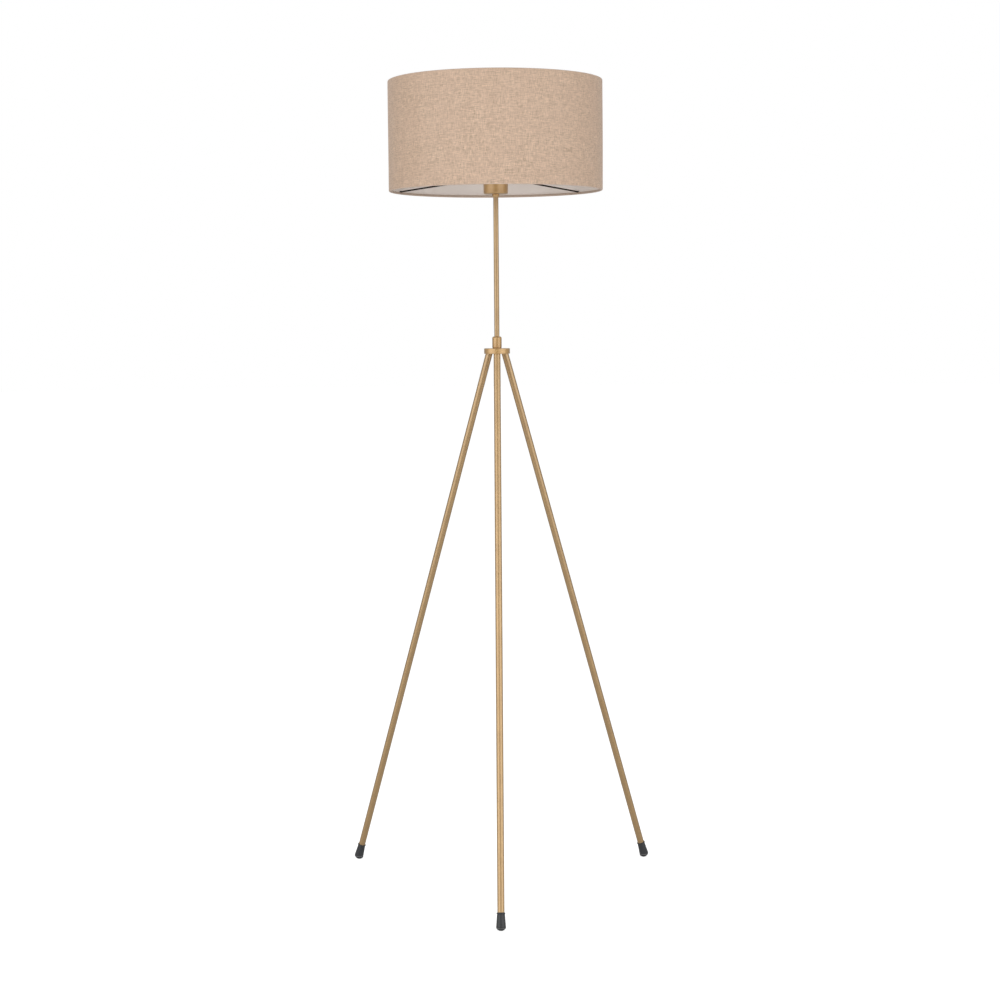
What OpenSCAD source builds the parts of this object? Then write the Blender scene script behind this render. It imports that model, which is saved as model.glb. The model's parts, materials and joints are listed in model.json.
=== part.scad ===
// Tripod floor lamp. Three tube legs screw into a turned hub disc, a slim pole
// stands in a collar on the disc, and a lampholder in a metal cup tops the pole.
// A fabric drum shade hangs on a wire spider that a ring nut clamps to the holder.
// Z is up and the origin is on the floor, straight under the pole.

/* [Stand] */
// Height of the middle of the hub disc above the floor
hub_z = 1004; // [800:1:1100]
// Diameter of the hub disc
hub_d = 48; // [48:1:70]
// Thickness of the hub disc
hub_t = 10; // [9:0.5:14]
// Radius at which the leg axes cross the middle of the hub disc
leg_hub_r = 15.6; // [15:0.1:17]
// Radius at which the leg axes would meet the floor
leg_floor_r = 328; // [280:1:380]
// Outside diameter of a leg tube
leg_d = 12.7; // [12:0.1:13]
// Wall thickness of a leg tube
leg_wall = 1; // [0.8:0.1:1.5]

/* [Rubber feet] */
// Length of a foot along its leg
foot_l = 31.5; // [26:0.5:45]
// Outside diameter of a foot at its lip
foot_lip_d = 14.8; // [14:0.1:16]
// Largest outside diameter of a foot, near its sole
foot_d = 17.5; // [16.5:0.5:20]
// Radius of the domed sole
foot_dome_r = 10; // [9.5:0.5:14]
// Thickness of rubber under the tube's end
foot_sole = 9; // [7:0.5:12]

/* [Pole] */
// Outside diameter of the pole
pole_d = 9.5; // [9.5:0.1:10]
// Wall thickness of the pole
pole_wall = 1; // [0.8:0.1:1.2]
// Diameter of the collar at the foot of the pole
collar_d = 17.5; // [15:0.5:20]
// Height of the collar
collar_h = 22; // [20:1:30]

/* [Lampholder] */
// Height of the cup's underside above the floor
cup_z = 1293; // [1200:1:1400]
// Diameter of the cup
cup_d = 45.5; // [44:0.5:48]
// Height of the cup
cup_h = 28.7; // [28:0.1:29]
// Outside diameter of the threaded skirt
skirt_d = 39.5; // [39:0.1:40]

/* [Shade] */
// Diameter of the drum shade
shade_d = 395; // [300:5:500]
// Height of the drum shade
shade_h = 201.5; // [180:0.5:300]
// How far the shade's lower edge is above the cup's underside
shade_lift = 5.5; // [3:0.5:8]
// Angle of the spider's first arm from +X
spider_turn = 37; // [0:1:119]
// Diameter of the spider and rim wires
wire_d = 3; // [2:0.5:3]

/* [Bulb] */
// Diameter of the bulb's globe
bulb_d = 60; // [58:1:62]
// Length of the bulb from contact to crown
bulb_l = 108; // [104:1:115]

/* [Hidden] */

// Running gap between pieces that move on each other
gap = 0.3;
$fn = 96;

// Finishes
antique_brass = [0.72, 0.58, 0.38];
zinc = [0.70, 0.71, 0.72];
nickel = [0.80, 0.79, 0.76];
bright_brass = [0.83, 0.69, 0.38];
rubber_black = [0.20, 0.20, 0.21];
phenolic_black = [0.09, 0.09, 0.09];
linen = [0.79, 0.68, 0.60];
lining_white = [0.93, 0.92, 0.90];
wire_black = [0.12, 0.09, 0.07];
opal = [0.97, 0.97, 0.95];

// The stand: leg i leaves the hub at this azimuth, the first towards -Y
function leg_azimuth(i) = -90 + 120 * (i - 1);
leg_tilt = atan((leg_floor_r - leg_hub_r) / hub_z);
hub_bottom = hub_z - hub_t / 2;
hub_top = hub_z + hub_t / 2;
hub_edge = 0.6;

// Heights along a leg's own axis count from where it crosses the hub's middle.
// Its plug is cut off level at the top, to lie flat against the disc's underside.
leg_top = -hub_t / 2 / cos(leg_tilt);
plug_head = 4.5;
plug_shank = 20;
stud_d = 8;
stud_pitch = 1.25;
stud_top = 3.2;
stud_bottom = leg_top - 15;

// The sole's dome is cut flat where it meets the floor
sole_flat = 0.25;
dome_centre = -(hub_z - foot_dome_r + sole_flat) / cos(leg_tilt);
foot_tip = dome_centre - foot_dome_r;
tube_end = foot_tip + foot_sole;
sole_round = 1.5;

// The thread that runs through the disc, the cup and the lampholder
m10 = 10;
m10_pitch = 1;
nut_across_flats = 14;
washer_t = 1;
centre_nut_t = 4;
// The disc's underside is recessed, so that the washer and nut don't stand proud of it
recess_d = 19;
recess = washer_t + centre_nut_t;
nipple_bore = 7.4;
nipple_bottom = hub_bottom - 1.2;
nipple_top = hub_top + 9;
bush_bore = 6.2;
bush_l = 6;
bush_flange_t = 1.5;
bush_flange_d = 11;
pole_bottom = hub_top + 10;
pole_top = cup_z - 1.5;
collar_chamfer = 3;

// The lampholder, as heights above the cup's underside
neck_d = 13.2;
neck_bore = 6.4;
cup_wall = 1;
cup_round = 3.5;
spigot_top = 10;
locknut_t = 2.5;
cap_bottom = 4;
cap_rim = 24;
cap_r = 19.3;
insert_bottom = 17;
insert_top = 23;
insert_r = 15;
shell_top = 50;
shell_crest_r = 13.4;
shell_root_r = 14;
shell_wall = 0.4;
edison_pitch = 3.63;
skirt_top = 57;
skirt_bore_r = 17.4;
skirt_pitch = 2.5;
contact_z = 29;
block_x = 11;
block_w = 5;
lead_d = 2.3;
lead_x = 1.25;
lead_bottom = nipple_bottom + 10.7;

// The shade's cloth, lining and rims
cloth = 0.6;
film = 0.6;
wire_room = wire_d + 0.1;
shade_r = shade_d / 2;
shade_z0 = cup_z + shade_lift;
shade_z1 = shade_z0 + shade_h;
lip_r = shade_r - cloth - film - wire_room;
rim_wire_r = lip_r + wire_room / 2;
lip_h = cloth + wire_room;

// The fitter ring lies on the cup's rim and the ring nut lies on the fitter ring
fitter_z = cup_z + cup_h + gap;
fitter_t = 2;
fitter_in_r = 21.2;
fitter_out_r = 26;
ring_nut_z = fitter_z + fitter_t + 0.4;
ring_nut_h = 7;
ring_nut_r = 27;
grip_count = 18;
arm_in = [fitter_out_r - 1.5, fitter_z + 0.4];
arm_out = [rim_wire_r + 1, shade_z0 + lip_h + wire_d / 2];

// The bulb, as heights above the cup's underside
globe_r = bulb_d / 2;
globe_z = contact_z + bulb_l - globe_r;
globe_wall = 1;
globe_drop = 11;
globe_cut = globe_z - globe_drop;
globe_cut_r = sqrt(globe_r * globe_r - globe_drop * globe_drop);
cap_thread_r = 13.1;
cap_root_r = 12.2;
cap_bore_r = 11.6;
cap_lip_r = 10.2;
cap_sheet = 0.4;
cap_low = contact_z + 5;
bulb_cap_top = contact_z + 27;
neck_r = 14.2;
housing_wall = 1.5;

// ---- shared shapes ----

module turned(profile) rotate_extrude() polygon(profile);

module tube(d, bore, h) difference() {
    cylinder(d = d, h = h);
    translate([0, 0, -1]) cylinder(d = bore, h = h + 2);
}

module hex_nut(flats, bore, h) difference() {
    cylinder(d = flats / cos(30), h = h, $fn = 6);
    translate([0, 0, -1]) cylinder(d = bore, h = h + 2);
}

// Points of an arc about a centre, from one angle to another
function arc(centre, r, from, to, steps = 8) =
    [for (i = [0:steps]) let (a = from + (to - from) * i / steps)
        [centre[0] + r * cos(a), centre[1] + r * sin(a)]];

// Ridges of a thread's outline between two heights, as [radius, height] points
function ridges(crest, root, pitch, low, high) =
    [for (i = [0:floor((high - low) / pitch) - 1])
        each [[root, low + i * pitch], [crest, low + (i + 0.35) * pitch],
            [crest, low + (i + 0.65) * pitch]]];

function reversed(list) = [for (i = [len(list) - 1:-1:0]) list[i]];

module threaded_rod(d, bore, pitch, low, high) turned(concat([[bore / 2, low]],
    ridges(d / 2 - 0.05, d / 2 - 0.55 * pitch, pitch, low, high),
    [[d / 2 - 0.55 * pitch, high], [bore / 2, high]]));

module along_leg(i) rotate([0, 0, leg_azimuth(i)]) translate([leg_hub_r, 0, hub_z])
    rotate([0, -leg_tilt, 0]) children();

module at_holder() translate([0, 0, cup_z]) children();

// A wire run through points, round at its joints
module wire_run(points, d) {
    for (i = [0:len(points) - 2]) {
        a = points[i];
        run = points[i + 1] - a;
        translate(a) rotate([0, acos(run[2] / norm(run)), atan2(run[1], run[0])])
            cylinder(d = d, h = norm(run));
    }
    for (i = [1:len(points) - 2]) translate(points[i]) sphere(d = d);
}

// ---- stand ----

module hub_disc() color(antique_brass) difference() {
    translate([0, 0, hub_bottom]) turned([[0, 0], [hub_d / 2 - hub_edge, 0],
        [hub_d / 2, hub_edge], [hub_d / 2, hub_t - hub_edge],
        [hub_d / 2 - hub_edge, hub_t], [0, hub_t]]);
    translate([0, 0, hub_bottom - 1]) cylinder(d = m10 + 0.2, h = hub_t + 2);
    translate([0, 0, hub_bottom - 1]) cylinder(d = recess_d, h = recess + 1);
    for (i = [1:3]) along_leg(i) translate([0, 0, -hub_t]) cylinder(d = stud_d, h = hub_t + stud_top);
}

module leg(i) color(antique_brass) along_leg(i) translate([0, 0, tube_end])
    tube(leg_d, leg_d - 2 * leg_wall, leg_top - plug_head - tube_end);

module leg_1() leg(1);
module leg_2() leg(2);
module leg_3() leg(3);

module leg_plug(i) {
    head_r = leg_d / 2;
    shank_r = head_r - leg_wall;
    color(antique_brass) difference() {
        along_leg(i) translate([0, 0, leg_top - plug_head]) difference() {
            turned([[0, -plug_shank], [shank_r, -plug_shank], [shank_r, 0], [head_r, 0],
                [head_r, plug_head + 4], [0, plug_head + 4]]);
            translate([0, 0, plug_head - 16]) cylinder(d = stud_d, h = 24);
        }
        translate([-hub_d, -hub_d, hub_bottom]) cube([2 * hub_d, 2 * hub_d, 20]);
    }
}

module leg_plug_1() leg_plug(1);
module leg_plug_2() leg_plug(2);
module leg_plug_3() leg_plug(3);

module leg_studs() color(zinc) for (i = [1:3])
    along_leg(i) threaded_rod(stud_d, 0, stud_pitch, stud_bottom, stud_top);

module foot(i) {
    corner_r = foot_d / 2 - sole_round;
    corner_z = foot_dome_r - sqrt(pow(foot_dome_r - sole_round, 2) - corner_r * corner_r);
    corner_a = atan2(corner_z - foot_dome_r, corner_r);
    color(rubber_black) intersection() {
        along_leg(i) translate([0, 0, foot_tip]) difference() {
            turned(concat(arc([0, foot_dome_r], foot_dome_r, -90, corner_a, 10),
                arc([corner_r, corner_z], sole_round, corner_a, 0, 5),
                [[foot_lip_d / 2, foot_l - 0.6], [foot_lip_d / 2 - 0.4, foot_l], [0, foot_l]]));
            translate([0, 0, foot_sole]) cylinder(d = leg_d, h = foot_l);
        }
        translate([-leg_floor_r - 50, -leg_floor_r - 50, 0])
            cube([2 * leg_floor_r + 100, 2 * leg_floor_r + 100, 100]);
    }
}

module foot_1() foot(1);
module foot_2() foot(2);
module foot_3() foot(3);

module centre_nipple() color(zinc)
    threaded_rod(m10, nipple_bore, m10_pitch, nipple_bottom, nipple_top);

module centre_washer() color(zinc) translate([0, 0, hub_bottom + centre_nut_t])
    tube(16, m10 + 0.4, washer_t);

module centre_nut() color(zinc) translate([0, 0, hub_bottom])
    hex_nut(nut_across_flats, m10, centre_nut_t);

module cord_bush() color(phenolic_black) translate([0, 0, nipple_bottom]) difference() {
    turned([[0, -bush_flange_t], [bush_flange_d / 2 - 0.5, -bush_flange_t],
        [bush_flange_d / 2, 0.5 - bush_flange_t], [bush_flange_d / 2, 0],
        [nipple_bore / 2, 0], [nipple_bore / 2, bush_l], [0, bush_l]]);
    translate([0, 0, -5]) cylinder(d = bush_bore, h = bush_l + 10);
}

// ---- pole ----

module pole_collar() {
    r = collar_d / 2;
    foot_edge = 0.8;
    color(antique_brass) translate([0, 0, hub_top]) turned([[m10 / 2, 0], [r - foot_edge, 0],
        [r - foot_edge, 0.6], [r, 0.6 + foot_edge], [r, collar_h - collar_chamfer],
        [r - collar_chamfer, collar_h], [pole_d / 2, collar_h], [pole_d / 2, 10], [m10 / 2, 10]]);
}

module pole_tube() color(antique_brass) translate([0, 0, pole_bottom])
    tube(pole_d, pole_d - 2 * pole_wall, pole_top - pole_bottom);

// Takes the pole's end from below and stands through the cup and the lampholder
module neck_adapter() color(antique_brass) at_holder() turned([
    [pole_d / 2, -6], [pole_d / 2 + 0.35, -6], [neck_d / 2, -4], [neck_d / 2, 0],
    [m10 / 2 - 0.05, 0], [m10 / 2 - 0.05, spigot_top], [neck_bore / 2, spigot_top],
    [neck_bore / 2, -1.5], [pole_d / 2, -1.5]]);

// ---- lampholder ----

module holder_cup() {
    r = cup_d / 2;
    in_r = r - cup_wall;
    color(antique_brass) at_holder() turned(concat([[m10 / 2 + 0.15, 0]],
        arc([r - cup_round, cup_round], cup_round, -90, 0, 8),
        [[r, cup_h], [in_r, cup_h]],
        arc([r - cup_round, cup_round], cup_round - cup_wall, 0, -90, 8),
        [[m10 / 2 + 0.15, cup_wall]]));
}

module holder_locknut() color(zinc) at_holder() translate([0, 0, cup_wall])
    hex_nut(nut_across_flats, m10, locknut_t);

module holder_cap() color(phenolic_black) at_holder() turned([
    [m10 / 2, cap_bottom], [12, cap_bottom + 0.6], [cap_r, 9.5], [cap_r, cap_rim],
    [skirt_bore_r, cap_rim], [skirt_bore_r, insert_bottom], [insert_r - 0.5, insert_bottom],
    [insert_r - 0.5, 9], [11, 7.4], [7.5, 7], [7.5, spigot_top + 0.5], [m10 / 2, spigot_top + 0.5]]);

module holder_insert() color("ivory") at_holder() difference() {
    translate([0, 0, insert_bottom]) cylinder(r = insert_r, h = insert_top - insert_bottom);
    translate([0, 0, insert_top - 1.5]) cylinder(r = 11, h = 2);
    for (side = [-1, 1]) translate([side * block_x, 0, insert_bottom - 1]) cylinder(d = 3, h = 10);
}

module terminal_blocks() color(bright_brass) at_holder() for (side = [-1, 1])
    translate([side * block_x - block_w / 2, -3, insert_bottom - 5]) difference() {
        cube([block_w, 6, 5]);
        translate([block_w / 2, 3, -1]) cylinder(d = 3, h = 7);
    }

module terminal_screws() color(zinc) at_holder() for (side = [-1, 1])
    translate([side * block_x, 0, insert_bottom - 6.6]) difference() {
        union() {
            cylinder(d = 5, h = 1.6);
            cylinder(d = 2.9, h = 11);
        }
        translate([-3, -0.4, -0.4]) cube([6, 0.8, 1]);
    }

// A brass strip that springs up from the insert's recess under the bulb's contact
module centre_contact() {
    strip_t = 0.5;
    strip_w = 5;
    rise = contact_z - gap - (insert_top - 1.5);
    color(bright_brass) at_holder() translate([0, strip_w / 2, insert_top - 1.5])
        rotate([90, 0, 0]) linear_extrude(strip_w) polygon([[-8, 0], [-2, 0],
            [2, rise - strip_t], [5, rise - strip_t], [6.5, rise - 2], [7, rise - 2],
            [5.3, rise], [1.7, rise], [-2.3, strip_t], [-8, strip_t]]);
}

module screw_shell() color(nickel) at_holder() turned(concat(
    ridges(shell_crest_r, shell_root_r, edison_pitch, insert_top, shell_top),
    [[shell_root_r, shell_top], [shell_root_r + shell_wall, shell_top]],
    reversed([for (p = ridges(shell_crest_r, shell_root_r, edison_pitch, insert_top, shell_top))
        [p[0] + shell_wall, p[1]]])));

module holder_skirt() {
    r = skirt_d / 2;
    spigot_r = skirt_bore_r - 0.05;
    thread_low = cap_rim + 1;
    thread_high = skirt_top - 2;
    color(phenolic_black) at_holder() turned(concat(
        [[insert_r + 0.1, insert_bottom + 1.5], [spigot_r, insert_bottom + 1.5],
            [spigot_r, cap_rim], [r - 0.9, cap_rim]],
        ridges(r, r - 0.9, skirt_pitch, thread_low, thread_high),
        [[r - 0.9, thread_high], [r - 0.9, skirt_top - 0.5], [r - 1.4, skirt_top],
            [insert_r + 0.1, skirt_top], [insert_r + 0.1, skirt_top - 2],
            [skirt_bore_r - 0.9, skirt_top - 2], [skirt_bore_r - 0.9, cap_rim],
            [insert_r + 0.1, cap_rim]]));
}

// A lead runs up the pole and leans out until its end's edge is at its terminal block
module lead(side) wire_run([[side * lead_x, 0, lead_bottom], [side * lead_x, 0, cup_z + 11],
    [side * (block_x - block_w / 2 - lead_d / 4), 0, cup_z + 14.5]], lead_d);

module lead_live() color("saddlebrown") lead(1);
module lead_neutral() color("royalblue") lead(-1);

// ---- shade ----

// The cloth turns in over both rim wires and ends in a short lip
module shade_fabric() {
    edge = 0.4;
    color(linen) turned([
        [lip_r - cloth + edge, shade_z0], [shade_r - edge, shade_z0], [shade_r, shade_z0 + edge],
        [shade_r, shade_z1 - edge], [shade_r - edge, shade_z1], [lip_r - cloth + edge, shade_z1],
        [lip_r - cloth, shade_z1 - edge], [lip_r - cloth, shade_z1 - lip_h],
        [lip_r, shade_z1 - lip_h], [lip_r, shade_z1 - cloth],
        [shade_r - cloth, shade_z1 - cloth], [shade_r - cloth, shade_z0 + cloth],
        [lip_r, shade_z0 + cloth], [lip_r, shade_z0 + lip_h],
        [lip_r - cloth, shade_z0 + lip_h], [lip_r - cloth, shade_z0 + edge]]);
}

module shade_lining() color(lining_white) translate([0, 0, shade_z0 + cloth])
    tube(shade_d - 2 * cloth, shade_d - 2 * cloth - 2 * film, shade_h - 2 * cloth);

module rim_wire(z) color(wire_black) translate([0, 0, z])
    rotate_extrude() translate([rim_wire_r, 0]) circle(d = wire_d, $fn = 32);

module bottom_rim_wire() rim_wire(shade_z0 + cloth + wire_room / 2);
module top_rim_wire() rim_wire(shade_z1 - cloth - wire_room / 2);

module spider_arm(i) color(wire_black) rotate([0, 0, spider_turn + 120 * (i - 1)])
    wire_run([[arm_in[0], 0, arm_in[1]], [arm_out[0], 0, arm_out[1]]], wire_d);

module spider_arm_1() spider_arm(1);
module spider_arm_2() spider_arm(2);
module spider_arm_3() spider_arm(3);

module fitter_ring() color(wire_black) translate([0, 0, fitter_z])
    tube(2 * fitter_out_r, 2 * fitter_in_r, fitter_t);

module shade_ring_nut() color(phenolic_black) translate([0, 0, ring_nut_z]) difference() {
    bore_r = skirt_d / 2 + gap;
    turned([[bore_r, 0], [ring_nut_r, 0], [ring_nut_r, ring_nut_h - 1],
        [ring_nut_r - 1, ring_nut_h], [bore_r, ring_nut_h]]);
    for (k = [1:grip_count]) rotate([0, 0, k * 360 / grip_count])
        translate([ring_nut_r + 0.8, 0, -1]) cylinder(r = 1.8, h = ring_nut_h + 2, $fn = 24);
}

// ---- bulb ----

module bulb_contact() color(zinc) at_holder() turned([[0, contact_z], [3, contact_z],
    [4.2, contact_z + 0.5], [4.2, contact_z + 1.4], [0, contact_z + 1.4]]);

// The cap's lower edge turns in under the insulator
module bulb_insulator() color(phenolic_black) at_holder() turned([
    [0, contact_z + 1.4 + gap], [5.5, contact_z + 1.4 + gap], [cap_lip_r, cap_low],
    [cap_lip_r, cap_low + cap_sheet], [cap_bore_r - 0.1, cap_low + cap_sheet],
    [cap_bore_r - 0.1, cap_low + 2], [0, cap_low + 2]]);

module bulb_cap() {
    high = bulb_cap_top - 5;
    color(nickel) at_holder() turned(concat([[cap_lip_r, cap_low], [cap_bore_r, cap_low]],
        ridges(cap_thread_r, cap_root_r, edison_pitch, cap_low + 2, high),
        [[cap_root_r, high], [neck_r - 0.8, bulb_cap_top - 2], [neck_r - 0.8, bulb_cap_top],
            [cap_bore_r, bulb_cap_top], [cap_bore_r, cap_low + 2],
            [cap_bore_r - 0.1, cap_low + 2], [cap_bore_r - 0.1, cap_low + cap_sheet],
            [cap_lip_r, cap_low + cap_sheet]]));
}

// The housing's outline swells from the cap to meet the globe without a step
housing_rise = globe_cut - bulb_cap_top;
function housing_r(u) = (2 * u * u * u - 3 * u * u + 1) * neck_r
    + (u * u * u - 2 * u * u + u) * housing_rise * 0.1
    + (3 * u * u - 2 * u * u * u) * globe_cut_r
    + (u * u * u - u * u) * housing_rise * globe_drop / globe_cut_r;

module bulb_housing() {
    steps = 10;
    spigot_r = 11.55;
    spigot_l = 14;
    bore_r = 9;
    color(opal) at_holder() translate([0, 0, bulb_cap_top]) turned(concat(
        [[bore_r, -spigot_l], [spigot_r, -spigot_l], [spigot_r, 0]],
        [for (i = [0:steps]) [housing_r(i / steps), housing_rise * i / steps]],
        [for (i = [steps:-1:1])
            [housing_r(i / steps) - housing_wall, housing_rise * i / steps]],
        [[neck_r - housing_wall, housing_wall], [bore_r, housing_wall]]));
}

module driver_board() color("seagreen") at_holder()
    translate([-8, -0.8, bulb_cap_top + 1]) cube([16, 1.6, 32]);

module led_board() color(nickel) at_holder() translate([0, 0, globe_cut - 3])
    cylinder(r = 25, h = 1.5);

module led_chips() color("gold") at_holder() for (k = [1:8]) rotate([0, 0, k * 45])
    translate([17, 0, globe_cut - 0.8]) cube([3, 3, 1.4], center = true);

module bulb_globe() color(opal) at_holder() difference() {
    translate([0, 0, globe_z]) sphere(r = globe_r);
    translate([0, 0, globe_z]) sphere(r = globe_r - globe_wall);
    translate([0, 0, globe_cut - bulb_d]) cylinder(r = bulb_d, h = bulb_d);
}

hub_disc();
leg_1();
leg_2();
leg_3();
leg_plug_1();
leg_plug_2();
leg_plug_3();
leg_studs();
foot_1();
foot_2();
foot_3();
centre_nipple();
centre_washer();
centre_nut();
cord_bush();
pole_collar();
pole_tube();
neck_adapter();
holder_cup();
holder_locknut();
holder_cap();
holder_insert();
terminal_blocks();
terminal_screws();
centre_contact();
screw_shell();
holder_skirt();
lead_live();
lead_neutral();
shade_fabric();
shade_lining();
top_rim_wire();
bottom_rim_wire();
spider_arm_1();
spider_arm_2();
spider_arm_3();
fitter_ring();
shade_ring_nut();
bulb_contact();
bulb_insulator();
bulb_cap();
bulb_housing();
driver_board();
led_board();
led_chips();
bulb_globe();
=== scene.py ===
"""The looks of a tripod floor lamp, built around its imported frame.

Everything is in metres in the frame's own axes: +Z up, the pole on the Z axis, the camera's
side towards -Y. Places and sizes come from the frame's boxes, and each sub-part and each
material has its own function. Turned parts that show get a finely rounded mesh of their own.
"""

import json
import math

import bmesh
import bpy
from mathutils import Matrix, Vector


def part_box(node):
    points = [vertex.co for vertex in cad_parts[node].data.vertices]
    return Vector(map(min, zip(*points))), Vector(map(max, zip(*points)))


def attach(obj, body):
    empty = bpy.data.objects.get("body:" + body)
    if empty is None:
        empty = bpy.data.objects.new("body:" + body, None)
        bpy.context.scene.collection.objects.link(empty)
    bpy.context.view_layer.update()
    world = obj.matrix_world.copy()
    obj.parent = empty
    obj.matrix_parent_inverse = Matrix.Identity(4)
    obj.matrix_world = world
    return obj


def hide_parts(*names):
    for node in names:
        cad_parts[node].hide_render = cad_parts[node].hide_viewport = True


MM = 0.001
TAU = 2 * math.pi

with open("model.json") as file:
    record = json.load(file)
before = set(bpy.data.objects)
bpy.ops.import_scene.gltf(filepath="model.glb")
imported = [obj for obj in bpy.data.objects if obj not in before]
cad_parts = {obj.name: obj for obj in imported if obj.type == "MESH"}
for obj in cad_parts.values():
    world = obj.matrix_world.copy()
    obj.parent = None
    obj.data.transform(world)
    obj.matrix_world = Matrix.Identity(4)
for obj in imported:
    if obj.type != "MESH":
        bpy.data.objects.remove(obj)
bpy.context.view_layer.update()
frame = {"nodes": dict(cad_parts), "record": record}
SLOT_OF = {part["node"]: part["material_slot"] for part in frame["record"]["subparts"]}
BODY_OF = {node: body for body, nodes in frame["record"]["behaviour"]["bodies"].items()
           for node in nodes}


# ---- places, read from the frame ----

def turned_box(node):
    """(radius, bottom, top) of a node that is turned about the Z axis."""
    low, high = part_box(node)
    return high.x, low.z, high.z


def tube_ends(node, along=lambda point: point.z):
    """The middles of a straight tube's two ends, the nearer one along its run first."""
    points = [v.co for v in frame["nodes"][node].data.vertices]
    middle = (min(map(along, points)) + max(map(along, points))) / 2
    halves = ([p for p in points if along(p) < middle], [p for p in points if along(p) >= middle])
    return [sum(half, Vector()) / len(half) for half in halves]


def leg_frame(i):
    """A frame whose origin is the middle of leg i's lower end and whose Z runs up the leg."""
    foot, head = tube_ends(f"leg_{i}")
    return Matrix.Translation(foot) @ (head - foot).to_track_quat("Z", "Y").to_matrix().to_4x4()


LEG_FRAMES = {i: leg_frame(i) for i in (1, 2, 3)}


# ---- mesh helpers ----

def new_piece(name, bm, smooth_angle=35):
    """An object from a bmesh, smooth apart from edges sharper than the angle."""
    bmesh.ops.recalc_face_normals(bm, faces=bm.faces)
    mesh = bpy.data.meshes.new(name)
    bm.to_mesh(mesh)
    bm.free()
    mesh.shade_smooth()
    mesh.set_sharp_from_angle(angle=math.radians(smooth_angle))
    piece = bpy.data.objects.new(name, mesh)
    bpy.context.scene.collection.objects.link(piece)
    return piece


def rounded(corners, steps=5):
    """A closed outline from (radius, height, rounding) corners, the rounding being how far
    from the corner its curve starts."""
    outline = []
    for i, (r, z, rounding) in enumerate(corners):
        here = Vector((r, z))
        if not rounding:
            outline.append(here)
            continue
        before = Vector(corners[i - 1][:2]) - here
        after = Vector(corners[(i + 1) % len(corners)][:2]) - here
        start = here + before.normalized() * min(rounding, 0.48 * before.length)
        end = here + after.normalized() * min(rounding, 0.48 * after.length)
        for k in range(steps + 1):
            t = k / steps
            outline.append(start * (1 - t) ** 2 + here * 2 * t * (1 - t) + end * t ** 2)
    return outline


def arc(centre, radius, start, end, steps):
    """Points along an arc about a centre, the angles in degrees."""
    angles = [math.radians(start + (end - start) * k / steps) for k in range(steps + 1)]
    return [Vector((centre[0] + radius * math.cos(a), centre[1] + radius * math.sin(a)))
            for a in angles]


def lathe_mesh(outline, segments=96, shape=None):
    """Turns a closed (radius, height) outline about Z. shape(radius, height, angle) may give
    each point another radius."""
    bm = bmesh.new()
    rings = []
    for r, z in outline:
        if r < 1e-7:
            rings.append([bm.verts.new((0, 0, z))])
            continue
        ring = []
        for k in range(segments):
            angle = TAU * k / segments
            rr = shape(r, z, angle) if shape else r
            ring.append(bm.verts.new((rr * math.cos(angle), rr * math.sin(angle), z)))
        rings.append(ring)
    for a, b in zip(rings, rings[1:] + rings[:1]):
        if len(a) == 1 and len(b) == 1:
            continue
        for k in range(segments):
            n = (k + 1) % segments
            quad = [a[k % len(a)], a[n % len(a)], b[n % len(b)], b[k % len(b)]]
            bm.faces.new(list(dict.fromkeys(quad)))
    return bm


def place(piece, node, material=None):
    """piece stands for a CAD node: it takes its body, its slot and that slot's finish."""
    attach(piece, BODY_OF[node])
    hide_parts(node)
    piece.data.materials.append(material or FINISH[SLOT_OF[node]])
    return piece


def turned_piece(name, node, outline, segments=96, shape=None):
    """A piece that stands for a node, turned about the Z axis from an outline whose heights
    count from the node's underside, in mm."""
    base = turned_box(node)[1]
    outline = [(r * MM, base + z * MM) for r, z in outline]
    in_mm = shape and (lambda r, z, angle: shape(r / MM, (z - base) / MM, angle) * MM)
    return place(new_piece(name, lathe_mesh(outline, segments, in_mm)), node)


# ---- node-tree helpers ----

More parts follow.
